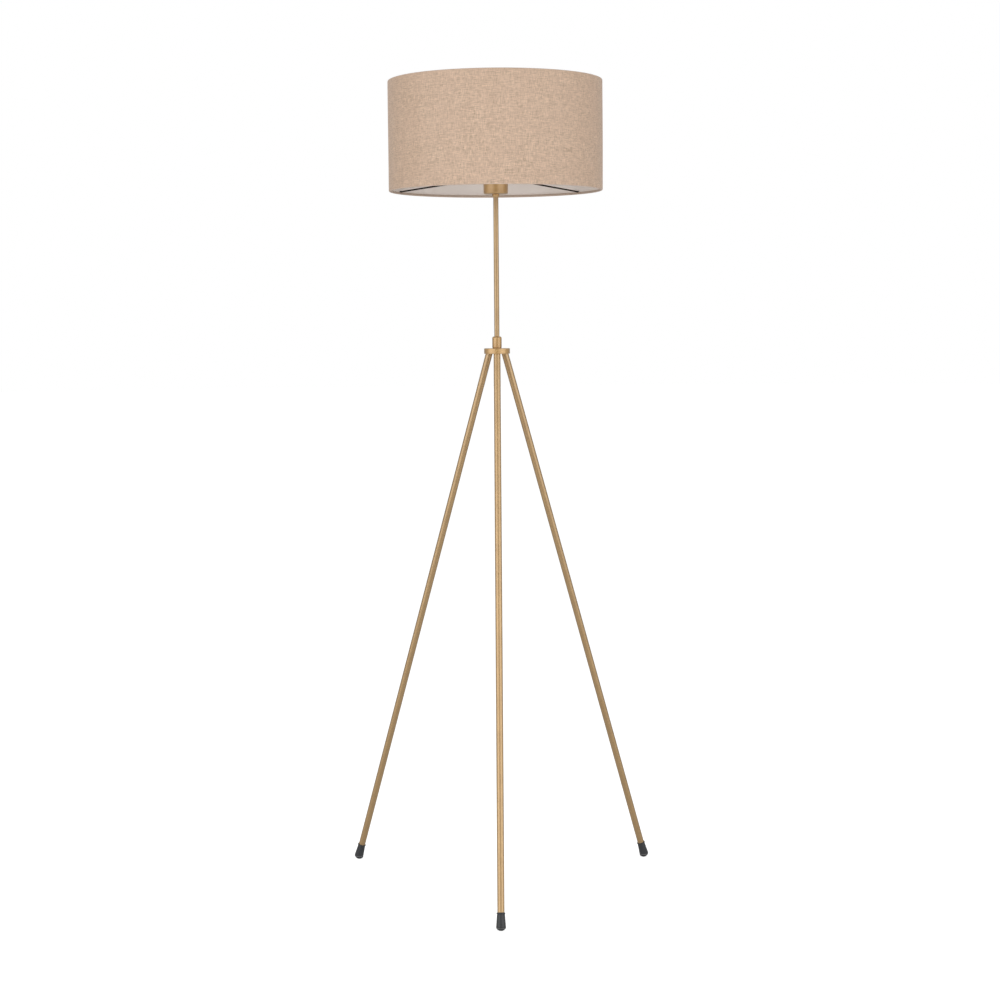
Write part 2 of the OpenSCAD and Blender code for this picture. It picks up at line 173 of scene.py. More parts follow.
class Graph:
    """Short ways to add nodes to a material."""

    def __init__(self, name):
        self.material = bpy.data.materials.new(name)
        self.material.use_nodes = True
        self.tree = self.material.node_tree
        self.shader = self.tree.nodes["Principled BSDF"]

    def put(self, socket, value):
        if isinstance(value, bpy.types.NodeSocket):
            self.tree.links.new(value, socket)
        elif isinstance(value, tuple) and len(value) == 3 and socket.type == "RGBA":
            socket.default_value = (*value, 1)
        else:
            socket.default_value = value

    def add(self, kind, inputs=None, **settings):
        node = self.tree.nodes.new("ShaderNode" + kind)
        for key, value in settings.items():
            setattr(node, key, value)
        for key, value in (inputs or {}).items():
            self.put(node.inputs[key], value)
        return node

    def set(self, **sockets):
        """Sets the shader's sockets; an underscore in a name stands for a space."""
        for key, value in sockets.items():
            self.put(self.shader.inputs[key.replace("_", " ")], value)

    def math(self, operation, a, b=0.0):
        return self.add("Math", {0: a, 1: b}, operation=operation).outputs[0]

    def scaled(self, value, factor, plus=0.0):
        return self.add("Math", {0: value, 1: factor, 2: plus},
                        operation="MULTIPLY_ADD").outputs[0]

    def vector(self, operation, a, b):
        return self.add("VectorMath", {0: a, 1: b}, operation=operation).outputs[0]

    def here(self):
        """The row frame's coordinates on the piece, in metres."""
        return self.add("TexCoord").outputs["Object"]

    def into(self, matrix):
        """Coordinates in another frame, such as a leg's own."""
        inverse = matrix.inverted()
        return self.add("Mapping", {"Vector": self.here(), "Location": inverse.translation,
                                    "Rotation": inverse.to_euler("XYZ")}).outputs[0]

    def stretched(self, vector, scale):
        return self.vector("MULTIPLY", vector, Vector(scale))

    def noise(self, vector, scale=1.0, detail=3.0, rough=0.5):
        return self.add("TexNoise", {"Vector": vector, "Scale": scale, "Detail": detail,
                                     "Roughness": rough}).outputs[0]

    def between(self, value, low, high, out_low=0.0, out_high=1.0):
        return self.add("MapRange", {"Value": value, "From Min": low, "From Max": high,
                                     "To Min": out_low, "To Max": out_high}).outputs[0]

    def mix(self, share, a, b, blend="MIX"):
        node = self.add("Mix", data_type="RGBA", blend_type=blend)
        for index, value in ((0, share), (6, a), (7, b)):
            self.put(node.inputs[index], value)
        return node.outputs[2]

    def bump(self, height, distance, strength=1.0, under=None):
        node = self.add("Bump", {"Height": height, "Distance": distance, "Strength": strength})
        if under is not None:
            self.put(node.inputs["Normal"], under)
        return node.outputs[0]

    def around_axis(self, vector):
        """(distance from the Z axis, angle in radians, height) as three sockets."""
        x, y, z = self.add("SeparateXYZ", {0: vector}).outputs
        radius = self.math("SQRT", self.math("ADD", self.math("MULTIPLY", x, x),
                                             self.math("MULTIPLY", y, y)))
        return radius, self.math("ARCTAN2", y, x), z

    def combine(self, x, y, z):
        return self.add("CombineXYZ", {0: x, 1: y, 2: z}).outputs[0]


# ---- materials ----

BRASS_DARK = (0.455, 0.262, 0.085)
BRASS = (0.572, 0.35, 0.128)
BRASS_LIGHT = (0.63, 0.415, 0.178)
# How much each piece's brass colours are scaled for how light falls on it: 1 is the plain brass,
# less is painted shade, more is painted light
LEG_PAINTED_SHADE = {1: 0.99, 2: 0.88, 3: 0.88}
POLE_PAINTED_SHADE = 0.84
TURNED_PAINTED_LIGHT = 1.1


def brass_finish(g, streaks, grain_at, smoothest, coat_ior, tone):
    """Satin antique brass under clear lacquer: clouded patina, brushed streaks, fine grain."""
    # tone scales the dark, plain and light brass alike: below 1 it is painted shade, above 1
    # painted light
    dark, base, light = (tuple(c * tone for c in tint)
                         for tint in (BRASS_DARK, BRASS, BRASS_LIGHT))
    clouds = g.noise(grain_at, 24, 4, 0.6)
    grain = g.noise(grain_at, 2600, 2, 0.7)
    colour = g.mix(g.between(clouds, 0.3, 0.55, 0.45, 1.0), dark, base)
    colour = g.mix(g.between(streaks, 0.35, 0.75, 0.0, 0.45), colour, light)
    colour = g.mix(g.between(grain, 0.3, 0.45, 0.35, 0.0), colour, dark)
    rough = g.math("ADD", g.between(streaks, 0.3, 0.7, 0.05, -0.04),
                   g.between(clouds, 0.3, 0.7, smoothest + 0.06, smoothest))
    height = g.math("ADD", g.math("MULTIPLY", streaks, 0.7), g.math("MULTIPLY", grain, 0.3))
    g.set(Base_Color=colour, Metallic=1.0, Roughness=rough, Normal=g.bump(height, 0.02 * MM, 0.5),
          Coat_Weight=1.0, Coat_Roughness=0.28, Coat_IOR=coat_ior)
    return g.material


def drawn_brass(name, matrix, tone):
    """Brass tube, brushed along its length."""
    g = Graph(name)
    at = g.into(matrix)
    fine = g.noise(g.stretched(at, (2200, 2200, 9)), 1, 3, 0.6)
    broad = g.noise(g.stretched(at, (420, 420, 2.5)), 1, 2, 0.5)
    streaks = g.math("ADD", g.math("MULTIPLY", fine, 0.55), g.math("MULTIPLY", broad, 0.45))
    return brass_finish(g, streaks, at, 0.44, 1.9, tone)


def turned_brass(name):
    """Brass turned on a lathe about the Z axis, with fine rings."""
    g = Graph(name)
    radius, angle, height = g.around_axis(g.here())
    rings = g.noise(g.combine(g.math("MULTIPLY", radius, 2600.0), g.math("MULTIPLY", angle, 0.8),
                              g.math("MULTIPLY", height, 2600.0)), 1, 3, 0.6)
    return brass_finish(g, rings, g.here(), 0.52, 1.75, TURNED_PAINTED_LIGHT)


def plated(name, tint, dark, rough, speckle=1500):
    """Plated or bare bright metal with a fine crystalline grain and slight dulling."""
    g = Graph(name)
    grain = g.noise(g.here(), speckle, 3, 0.6)
    dull = g.noise(g.here(), 90, 3, 0.5)
    share = g.math("MULTIPLY", g.between(grain, 0.35, 0.7), g.between(dull, 0.2, 0.8, 0.5, 1.0))
    g.set(Base_Color=g.mix(share, dark, tint), Metallic=1.0,
          Roughness=g.between(dull, 0.3, 0.7, rough - 0.06, rough + 0.08),
          Normal=g.bump(grain, 0.01 * MM, 0.4))
    return g.material


def foot_rubber(name, matrix):
    """Moulded rubber: charcoal, faintly mottled and streaked, with a pale painted highlight along
    its ridge.
    """
    g = Graph(name)
    at = g.into(matrix)
    mottle = g.noise(at, 260, 4, 0.6)
    grain = g.noise(at, 3200, 2, 0.6)
    streak = g.noise(g.stretched(at, (900, 900, 60)), 1, 3, 0.6)
    height = g.add("SeparateXYZ", {0: g.here()}).outputs[2]
    ridge = g.between(g.math("ABSOLUTE", g.math("SUBTRACT", height, RIDGE_HEIGHT)),
                      0.3 * MM, 1.0 * MM, 1.0, 0.0)
    # A patchy pale band at the ridge's height: a painted highlight along the moulded ridge
    ridge_highlight = g.math("MULTIPLY", ridge,
                   g.between(g.noise(at, 500, 4, 0.7), 0.3, 0.55, 0.35, 1.0))
    colour = g.mix(g.between(mottle, 0.3, 0.7), (0.019, 0.0205, 0.0225), (0.034, 0.0365, 0.040))
    colour = g.mix(g.between(streak, 0.45, 0.75, 0.0, 0.5), colour, (0.058, 0.061, 0.066))
    colour = g.mix(ridge_highlight, colour, (0.2, 0.2, 0.2))
    g.set(Base_Color=colour, Roughness=g.between(mottle, 0.3, 0.7, 0.34, 0.46),
          Specular_IOR_Level=0.6,
          Normal=g.bump(grain, 0.03 * MM, 0.5, under=g.bump(ridge, 0.4 * MM)))
    return g.material


def moulded(name, dark, light, rough, grain_size=1800, depth=0.02):
    """Moulded plastic or other plain compound: slight mottling and a fine surface texture."""
    g = Graph(name)
    mottle = g.noise(g.here(), 120, 4, 0.6)
    grain = g.noise(g.here(), grain_size, 2, 0.5)
    g.set(Base_Color=g.mix(g.between(mottle, 0.3, 0.7), dark, light),
          Roughness=g.between(mottle, 0.3, 0.7, rough - 0.05, rough + 0.07),
          Normal=g.bump(grain, depth * MM, 0.5))
    return g.material


def opal(name):
    """The bulb's diffusing globe: milky, with a soft inner glow of scattered light."""
    g = Graph(name)
    cloud = g.noise(g.here(), 60, 3, 0.5)
    g.set(Base_Color=g.mix(g.between(cloud, 0.3, 0.7), (0.86, 0.86, 0.84), (0.92, 0.92, 0.905)),
          Roughness=g.between(cloud, 0.3, 0.7, 0.3, 0.38), Subsurface_Weight=0.4,
          Subsurface_Radius=(0.006, 0.006, 0.006), Normal=g.bump(cloud, 0.02 * MM, 0.3))
    return g.material


def dark_lacquer(name):
    """Brown-black stove lacquer on steel wire."""
    g = Graph(name)
    cloud = g.noise(g.here(), 180, 4, 0.6)
    orange_peel = g.noise(g.here(), 1200, 2, 0.5)
    g.set(Base_Color=g.mix(g.between(cloud, 0.3, 0.7),
                           (0.014, 0.008, 0.005), (0.028, 0.016, 0.010)),
          Roughness=g.between(cloud, 0.3, 0.7, 0.44, 0.56), Specular_IOR_Level=0.25,
          Normal=g.bump(orange_peel, 0.03 * MM, 0.5))
    return g.material


# How far the ridge over a foot's sole is above the floor
RIDGE_HEIGHT = 5.9 * MM

CLOTH_UV = "cloth_metres"
THREAD = 0.85 * MM
LINEN_DARK = (0.44, 0.281, 0.174)
LINEN_LIGHT = (0.92, 0.668, 0.483)
LINEN_PATCH = (0.72, 0.494, 0.352)
LINEN_GAP_SHADE = (0.33, 0.20, 0.114)
LINEN_FOLD_SHADE = (0.42, 0.33, 0.27)


def linen(name, hem, height):
    """Plain-weave linen: over and under threads, each of its own shade, with slubs both ways.
    UVs are in metres: across round the shade, up its side."""
    g = Graph(name)
    u, v, _ = g.add("SeparateXYZ", {0: g.add("UVMap", uv_map=CLOTH_UV).outputs[0]}).outputs
    warp_at, weft_at = g.math("DIVIDE", u, THREAD), g.math("DIVIDE", v, THREAD)
    wander = g.noise(g.combine(g.math("MULTIPLY", u, 45.0), g.math("MULTIPLY", v, 45.0), 0.0), 1, 2)
    warp_at = g.math("ADD", warp_at, g.math("MULTIPLY", wander, 1.2))
    weft_at = g.math("ADD", weft_at, g.math("MULTIPLY", wander, 1.2))
    warp_no, weft_no = g.math("FLOOR", warp_at), g.math("FLOOR", weft_at)

    def thread(number, along, seed):
        """How light a thread is at a place along it, from 0 to 1."""
        own = g.add("TexWhiteNoise", {"W": g.math("ADD", number, seed)},
                    noise_dimensions="1D").outputs["Value"]
        drift = g.noise(g.combine(g.math("MULTIPLY", number, 7.31), g.math("MULTIPLY", along, 60.0),
                                  seed), 1, 3, 0.6)
        return g.math("ADD", g.math("MULTIPLY", own, 0.45), g.math("MULTIPLY", drift, 0.55))

    warp, weft = thread(warp_no, v, 3.5), thread(weft_no, u, 91.5)
    over = g.math("MODULO", g.math("ABSOLUTE", g.math("ADD", warp_no, weft_no)), 2.0)

    def crown(position):
        """A thread's round back: 0 at its edges and 1 in its middle."""
        inside = g.math("FRACT", position)
        return g.math("SINE", g.math("MULTIPLY", inside, math.pi))

    warp_back, weft_back = crown(warp_at), crown(weft_at)
    warp_high = g.math("MULTIPLY", warp_back, g.scaled(over, 0.5, 0.5))
    weft_high = g.math("MULTIPLY", weft_back, g.scaled(over, -0.5, 1.0))

    def slub(along_scale, across_scale, seed):
        """Thicker, darker stretches of thread, from 0 to 1."""
        return g.noise(g.combine(g.math("MULTIPLY", u, along_scale),
                                 g.math("MULTIPLY", v, across_scale), seed), 1, 2, 0.7)

    slubs = g.math("ADD", g.between(slub(100.0, 900.0, 1.7), 0.32, 0.68, -0.5, 0.5),
                   g.between(slub(900.0, 100.0, 8.2), 0.32, 0.68, -0.5, 0.5))
    tone = g.mix(over, weft, warp)
    shade = g.math("ADD", g.scaled(tone, 0.5), g.scaled(slubs, 0.8))
    colour = g.mix(g.between(shade, -0.45, 0.85), LINEN_DARK, LINEN_LIGHT)
    patch = g.noise(g.combine(g.math("MULTIPLY", u, 22.0), g.math("MULTIPLY", v, 22.0), 4.0), 1, 2)
    colour = g.mix(g.between(patch, 0.35, 0.65, 0.0, 0.26), colour, LINEN_PATCH)
    # Where neither thread's back is high, between the threads, the colour is pulled darker: painted
    # shade in the gaps of the weave
    gap = g.math("MAXIMUM", warp_back, weft_back)
    colour = g.mix(g.between(gap, 0.0, 0.55, 0.55, 0.0), colour, LINEN_GAP_SHADE)
    to_top = g.math("SUBTRACT", v, height)
    edge = g.math("MINIMUM", g.math("ABSOLUTE", v), g.math("ABSOLUTE", to_top))
    colour = g.mix(g.between(edge, hem, hem + 0.5 * MM, 0.25, 0.0), colour, LINEN_PATCH)
    # Past the cloth's outer face, round the rolled hems and up the turned-in lip, the colour is
    # pulled darker: painted shade inside the fold
    past = g.math("MAXIMUM", g.scaled(v, -1.0), to_top)
    colour = g.mix(g.between(past, 0.5 * MM, 2 * MM, 0.0, 0.6), colour, LINEN_FOLD_SHADE)
    relief = g.math("ADD", g.math("MAXIMUM", warp_high, weft_high), g.scaled(slubs, 0.6))
    g.set(Base_Color=colour, Roughness=0.35, Specular_IOR_Level=1.0,
          Sheen_Weight=0.04, Sheen_Roughness=0.4, Normal=g.bump(relief, 0.16 * MM, 0.9))
    return g.material


def film(name):
    """The shade's inside: warm white film that shows a little of the cloth's relief."""
    g = Graph(name)
    ripple = g.noise(g.stretched(g.here(), (160, 160, 700)), 1, 3, 0.6)
    cloud = g.noise(g.here(), 30, 3, 0.5)
    g.set(Base_Color=g.mix(g.between(cloud, 0.3, 0.7), (0.89, 0.81, 0.75), (0.94, 0.86, 0.80)),
          Roughness=g.between(ripple, 0.3, 0.7, 0.42, 0.55), Normal=g.bump(ripple, 0.04 * MM, 0.5))
    return g.material


# ---- the stand, with sizes in mm ----

TUBE_R = 6.35
SOLE_THICKNESS = 9
DOME_R = 10
LIP_R = 7.1
PARTING_RIDGE = 0.08
# The bore that holds the pole, just clear of the tube itself
POLE_R = 4.77
HUB_BORE_R = 5.1
# The hub's underside, where washer and nut sit
RECESS_R = 9.5
RECESS_DEPTH = 5


def foot_outline(widest, length):
    """A foot's outline from its tip up, in mm: domed sole, ridge, taper and rolled lip."""
    bore = TUBE_R + 0.02
    dome = arc((0, DOME_R), DOME_R, -84, -40, 10)
    side = rounded([(widest - 0.4, 4.6, 0), (widest - 0.15, 5.8, 0.5), (widest - 0.15, 7.0, 0.5),
                    (LIP_R, length - 3.4, 0.4), (LIP_R - 0.3, length - 3.0, 0.2),
                    (LIP_R + 0.7, length - 2.3, 0.9), (LIP_R + 0.7, length, 1.7),
                    (bore, length, 0.3), (bore, SOLE_THICKNESS, 0), (0, SOLE_THICKNESS, 0)], 4)
    return [Vector((0, 0))] + dome + side


def parting_line(r, angle):
    """The radius with the thin ridge that runs up both sides of a moulded foot."""
    near = abs(math.sin(angle - 0.4))
    return r + (PARTING_RIDGE if near < 0.03 and r > TUBE_R + 0.5 else 0)


def make_foot(i):
    node, matrix = f"foot_{i}", LEG_FRAMES[i]
    points = [matrix.inverted() @ v.co for v in frame["nodes"][node].data.vertices]
    tip = min(p.z for p in points)
    length = max(p.z for p in points) - tip
    widest = max(math.hypot(p.x, p.y) for p in points)
    outline = [(p.x * MM, p.y * MM) for p in foot_outline(widest / MM, length / MM)]
    bm = lathe_mesh(outline, 96, lambda r, z, a: parting_line(r / MM, a) * MM)
    bmesh.ops.transform(bm, matrix=matrix @ Matrix.Translation((0, 0, tip)), verts=bm.verts)
    cut = bmesh.ops.bisect_plane(bm, geom=bm.verts[:] + bm.edges[:] + bm.faces[:],
                                 plane_co=(0, 0, 0), plane_no=(0, 0, 1), clear_inner=True)
    rim = [piece for piece in cut["geom_cut"] if isinstance(piece, bmesh.types.BMEdge)]
    bmesh.ops.edgenet_fill(bm, edges=rim)
    place(new_piece(f"rubber_foot_{i}", bm), node, RUBBER[node])


def make_hub():
    r, low, high = turned_box("hub_disc")
    r, h = r / MM, (high - low) / MM
    turned_piece("turned_hub", "hub_disc", rounded([
        (HUB_BORE_R, RECESS_DEPTH, 0.3), (RECESS_R, RECESS_DEPTH, 0.3), (RECESS_R, 0, 0.5),
        (r, 0, 0.9), (r, h, 0.9), (HUB_BORE_R, h, 0.3)]),
        160)
    r, low, high = turned_box("pole_collar")
    r, h = r / MM, (high - low) / MM
    turned_piece("pole_socket", "pole_collar", rounded([
        (5, 0, 0), (r - 0.9, 0, 0.2), (r - 0.9, 0.7, 0.2), (r, 1.2, 0.5), (r, h - 6, 0)], 5)
        + arc((r - 3.2, h - 3.2), 3.2, 0, 90, 12) + [(POLE_R, h), (POLE_R, 10), (5, 10)], 128)


def hexagon(flats):
    """Cuts a turned outline down to a hexagon across the given flats."""
    def shape(r, z, angle):
        off = (angle + math.pi / 6) % (math.pi / 3) - math.pi / 6
        flat = flats / 2 / math.cos(math.pi / 6 - abs(off))
        return min(r, flat) if r > flats * 0.4 else r
    return shape


def make_centre_fasteners():
    turned_piece("hub_nut", "centre_nut", rounded([
        (5, 0.4, 0), (5.4, 0, 0), (6.7, 0, 0), (8.1, 0.9, 0), (8.1, 3.1, 0), (6.7, 4, 0),
        (5.4, 4, 0), (5, 3.6, 0)]), 96, hexagon(14))
    turned_piece("hub_washer", "centre_washer", rounded([
        (5.2, 0, 0.15), (8, 0, 0.25), (8, 1, 0.25), (5.2, 1, 0.15)]))
    turned_piece("cord_grommet", "cord_bush", rounded([
        (3.1, 0, 0.5), (5.5, 0, 0.7), (5.5, 1.5, 0.3), (3.7, 1.5, 0.1), (3.7, 7.5, 0.3),
        (3.1, 7.5, 0.3)]))


# ---- the lampholder ----

NIPPLE_R = 5.15
RING_PITCH = 2.5
E27_PITCH = 3.63


def screw_thread(pitch, crest, root, low, high, sharpness=1.0):
    """Winds a right-handed thread round the part of an outline that lies between two heights
    and reaches the root."""
    def shape(r, z, angle):
        if r < root - 0.01 or not low < z < high:
            return r
        wave = 0.5 - 0.5 * math.cos(TAU * (z / pitch - angle / TAU))
        wave = min(1.0, max(0.0, 0.5 + (wave - 0.5) * sharpness))
        fade = min(1.0, (z - low) / pitch, (high - z) / pitch)
        return r + (crest - root) * wave * fade
    return shape


def heights(low, high, step):
    """Evenly spaced heights from low to high."""
    count = math.ceil((high - low) / step)
    return [low + (high - low) * k / count for k in range(count + 1)]


def make_cup():
    r, low, high = turned_box("holder_cup")
    r, h = r / MM, (high - low) / MM
    bend, wall = 3.5, 1.0
    turned_piece("holder_shell", "holder_cup",
                 [(NIPPLE_R, 0)] + arc((r - bend, bend), bend, -90, 0, 12)
                 + rounded([(r, h - 1.6, 0), (r + 0.15, h - 1.2, 0.3), (r + 0.15, h, 0.5),
                            (r - wall, h, 0.4), (r - wall, h - 1.6, 0)], 4)
                 + arc((r - bend, bend), bend - wall, 0, -90, 8) + [(NIPPLE_R, wall)], 160)
    turned_piece("cup_neck", "neck_adapter", rounded([
        (POLE_R, 0, 0.1), (5.1, 0, 0.15), (6.6, 2.0, 0.5), (6.6, 5.7, 0.3), (6.2, 6, 0.1),
        (4.95, 6, 0), (4.95, 16, 0.3), (3.2, 16, 0.2), (3.2, 4.5, 0), (POLE_R, 4.5, 0)], 5), 96)


def make_holder_threads():
    crest, low, high = turned_box("holder_skirt")
    crest, top = crest / MM, (high - low) / MM
    root, rim = crest - 0.9, top - 33
    bore = [(16.5, top - 2), (16.5, rim), (15.1, rim), (15.1, 0), (17.35, 0), (17.35, rim)]
    outside = [(root, z) for z in heights(rim, top - 1, 0.28)]
    turned_piece("threaded_skirt", "holder_skirt",
                 bore + outside + [(root - 0.2, top - 0.3), (root - 0.7, top), (15.3, top),
                                   (15.1, top - 0.2), (15.1, top - 2)],
                 96, screw_thread(RING_PITCH, crest, root, rim + 1.2, top - 1.8, 1.6))
    sheet, crest, root = 0.4, 13.4, 14.0
    h = (turned_box("screw_shell")[2] - turned_box("screw_shell")[1]) / MM
    inside = [(root, z) for z in heights(0, h, 0.3)]
    turned_piece("lamp_screw_shell", "screw_shell",
                 inside + [(r + sheet, z) for r, z in reversed(inside)],
                 96, screw_thread(E27_PITCH, crest, root, -4, h - 0.8))


def make_bulb():
    crest, root, bore, lip, sheet = 13.1, 12.2, 11.6, 10.2, 0.4
    h = (turned_box("bulb_cap")[2] - turned_box("bulb_cap")[1]) / MM
    outside = [(root, z) for z in heights(1.2, h - 5, 0.3)]
    turned_piece("bulb_screw_cap", "bulb_cap",
                 [(lip, 0), (bore, 0), (bore + 0.4, 0.4)] + outside
                 + rounded([(root + 0.1, h - 4.6, 0.3), (13.4, h - 2.6, 0.6), (13.4, h, 0.3),
                            (bore, h, 0), (bore, sheet, 0), (lip, sheet, 0)]),
                 96, screw_thread(E27_PITCH, crest, root, 1.4, h - 5.2))
    neck_r, wall, spigot = 14.2, 1.5, 14
    r, low, high = turned_box("bulb_housing")
    r, rise = r / MM, (high - low) / MM - spigot
    drop, globe = 11, 30.0

    def flare(u):
        """The housing's radius at a share of its height: it meets cap and globe smoothly."""
        return ((2 * u - 3) * u * u + 1) * neck_r + (u * (u - 1) ** 2) * rise * 0.1 \
            + (3 - 2 * u) * u * u * r + (u - 1) * u * u * rise * drop / r

    shares = [k / 30 for k in range(31)]
    turned_piece("bulb_body", "bulb_housing",
                 [(9, 0), (11.55, 0), (11.55, spigot)]
                 + [(flare(u), spigot + rise * u) for u in shares]
                 + [(flare(u) - wall, spigot + rise * u) for u in reversed(shares[2:])]
                 + [(9, spigot + wall)], 128)
    start = math.degrees(math.asin(-drop / globe))
    turned_piece("bulb_dome", "bulb_globe",
                 arc((0, drop), globe, start, 89.9, 40)
                 + arc((0, drop), globe - 1, 89.9, start, 30), 128)


# ---- the shade's carrier ----

ARM_R = 1.5


def rod(bm, start, end, radius, sides=20):
    """A round rod with domed ends."""
    run = end - start
    turn = run.to_track_quat("Z", "Y").to_matrix().to_4x4()
    dome = [math.radians(a) for a in (0, 30, 60, 90)]
    outline = [(radius * math.sin(a), -0.6 * radius * math.cos(a)) for a in dome]
    outline += [(radius * math.sin(a), run.length + 0.6 * radius * math.cos(a))
                for a in reversed(dome)]
    rings = []
    for r, z in outline:
        at = [Vector((r * math.cos(TAU * k / sides), r * math.sin(TAU * k / sides), z))
              for k in range(sides if r > 1e-6 else 1)]
        rings.append([bm.verts.new(start + turn @ p) for p in at])
    for a, b in zip(rings, rings[1:]):
        for k in range(sides):
            n = (k + 1) % sides
            quad = [a[k % len(a)], a[n % len(a)], b[n % len(b)], b[k % len(b)]]
            bm.faces.new(list(dict.fromkeys(quad)))


def bead(bm, centre, size):
    """A flattened blob of weld."""
    matrix = Matrix.Translation(centre) @ Matrix.Diagonal((*size, 1))
    bmesh.ops.create_uvsphere(bm, u_segments=18, v_segments=12, radius=1, matrix=matrix)


def make_carrier():
    for i in (1, 2, 3):
        node = f"spider_arm_{i}"
        inner, outer = tube_ends(node, lambda p: math.hypot(p.x, p.y))
        along = (outer - inner).normalized()
        bm = bmesh.new()
        rod(bm, inner, outer - along * 1.5 * MM, ARM_R * MM)
        bead(bm, inner + along * 1.2 * MM, [2.3 * MM] * 2 + [1.9 * MM])
        bead(bm, outer - along * 0.6 * MM - Vector((0, 0, 0.6 * MM)), [2.2 * MM] * 3)
        place(new_piece(f"carrier_arm_{i}", bm, 60), node)
    turned_piece("carrier_ring", "fitter_ring", rounded([
        (21.2, 0, 0.5), (26, 0, 0.8), (26, 2, 0.8), (21.2, 2, 0.5)]), 160)
    r, low, high = turned_box("shade_ring_nut")
    r, h = r / MM, (high - low) / MM
    grips, notch = 18, 1.8

    def gripped(radius, z, angle):
        away = ((angle * grips / TAU + 0.5) % 1 - 0.5) * TAU / grips * r
        if radius < r - 3 or abs(away) > notch:
            return radius
        return min(radius, r + 0.8 - math.sqrt(notch ** 2 - away ** 2))

    turned_piece("clamp_ring", "shade_ring_nut", rounded([
        (20.05, 0, 0.4), (r, 0, 0.4), (r, h, 1.4), (22.6, h, 0.3), (22.2, h - 0.5, 0.2),
        (21.6, h - 0.5, 0.2), (21.2, h, 0.3), (20.05, h, 0.5)], 4), 360, gripped)


# ---- the shade ----

SEAM_ANGLE = math.radians(97)
SEAM_LAP = 12 * MM
CLOTH = 0.6 * MM
FILM = 0.6 * MM
ROLL = 2.15 * MM
COLUMNS = 360

shade_r, shade_low, shade_high = turned_box("shade_fabric")
shade_h = shade_high - shade_low
rim_r = turned_box("bottom_rim_wire")[0] - 1.5 * MM


def unevenness(angle, share):
    """How far the shade's wall is out of round at an angle; the rims hold it at share 0 and 1."""
    belly = math.sin(math.pi * share)
    return (0.22 * math.sin(3 * angle + 0.6) + 0.12 * math.sin(8 * angle + 2.1) * belly
            + 0.18 * belly * math.sin(5 * angle + 4 * share)) * MM


def seam_step(angle):
    """The cloth's outer end lies over its inner one, a thickness further out."""
    past = (angle - SEAM_ANGLE) % TAU * shade_r
    if past > SEAM_LAP:
        return 0.0
    return CLOTH * min(1.0, 8 * past / SEAM_LAP, 2.5 * (SEAM_LAP - past) / SEAM_LAP)


def cloth_outline():
    """The cloth's two faces as one closed outline, with each point's place along the cloth.
    It runs round the lower rim wire, up the outside and round the upper rim wire."""
    half = []
    tuck = Vector((shade_r - CLOTH - FILM - 0.1 * MM, ROLL * 2 + 0.15 * MM))
    half.append((tuck, tuck - Vector((0, CLOTH))))
    wire = Vector((rim_r, ROLL))
    for degrees in range(90, 271, 15):
        direction = Vector((math.cos(math.radians(degrees)), math.sin(math.radians(degrees))))
        half.append((wire + direction * ROLL, wire + direction * (ROLL - CLOTH)))
    reach = shade_r - rim_r
    for degrees in range(285, 361, 15):
        c, s = math.cos(math.radians(degrees)), math.sin(math.radians(degrees))
        half.append((wire + Vector((reach * c, ROLL * s)),
                     wire + Vector(((reach - CLOTH) * c, (ROLL - CLOTH) * s))))
    rise = [ROLL + (shade_h - 2 * ROLL) * k / 24 for k in range(1, 24)]
    wall = [(Vector((shade_r, z)), Vector((shade_r - CLOTH, z))) for z in rise]
    flip = [tuple(Vector((p.x, shade_h - p.y)) for p in pair) for pair in reversed(half)]
    return half + wall + flip


def columns():
    """The angles of the shade's columns, with extra ones where the seam's edges are."""
    lap = SEAM_LAP / shade_r
    extra = [SEAM_ANGLE + lap * share for share in (0, 0.04, 0.125, 0.6, 0.8, 1)]
    plain = [TAU * k / COLUMNS for k in range(COLUMNS)]
    clear = [a for a in plain if min(abs(a - e) for e in extra) > 0.004]
    return sorted(clear + extra)


def wrapped_sheet(name, pairs, lowest):
    """A thin closed band round the Z axis from (outer, inner) outline pairs, with UVs."""
    bm = bmesh.new()
    uv = bm.loops.layers.uv.new(CLOTH_UV)
    angles = columns()
    along = [0.0]
    for (a, _), (b, _) in zip(pairs, pairs[1:]):
        along.append(along[-1] + (b - a).length)
    outer_start = next(k for k, (p, _) in enumerate(pairs)
                       if k > 2 and p.x > shade_r - 3 * MM and p.y < shade_h / 2)
    zero = along[outer_start]

    def corner(point, angle):
        share = min(1.0, max(0.0, point.y / shade_h))
        lift = unevenness(angle, share)
        if point.x > shade_r - 1.05 * CLOTH:
            lift += seam_step(angle)
        r = point.x + lift
        return bm.verts.new((r * math.cos(angle), r * math.sin(angle), lowest + point.y))

    grid = [[(corner(o, a), corner(i, a)) for o, i in pairs] for a in angles]
    for c, column in enumerate(grid):
        after = grid[(c + 1) % len(grid)]
        u0 = angles[c] * shade_r
        u1 = (angles[c + 1] if c + 1 < len(angles) else angles[0] + TAU) * shade_r

        def face(corners):
            made = bm.faces.new([vert for vert, _ in corners])
            for loop, (_, place_uv) in zip(made.loops, corners):
                loop[uv].uv = place_uv

        for k in range(len(pairs) - 1):
            v0, v1 = along[k] - zero, along[k + 1] - zero
            for side in (0, 1):
                face([(column[k][side], (u0, v0)), (after[k][side], (u1, v0)),
                      (after[k + 1][side], (u1, v1)), (column[k + 1][side], (u0, v1))])
        for k in (0, len(pairs) - 1):
            v = along[k] - zero
            face([(column[k][0], (u0, v)), (after[k][0], (u1, v)),
                  (after[k][1], (u1, v)), (column[k][1], (u0, v))])
    return new_piece(name, bm, 50)


def make_shade():
    cloth = place(wrapped_sheet("shade_cloth", cloth_outline(), shade_low), "shade_fabric")
    film_r = shade_r - CLOTH
    pairs = [(Vector((film_r, z)), Vector((film_r - FILM, z)))
             for z in [CLOTH + (shade_h - 2 * CLOTH) * k / 24 for k in range(25)]]
    liner = place(wrapped_sheet("shade_liner", pairs, shade_low), "shade_lining")


# ---- finishes by the record's slots ----

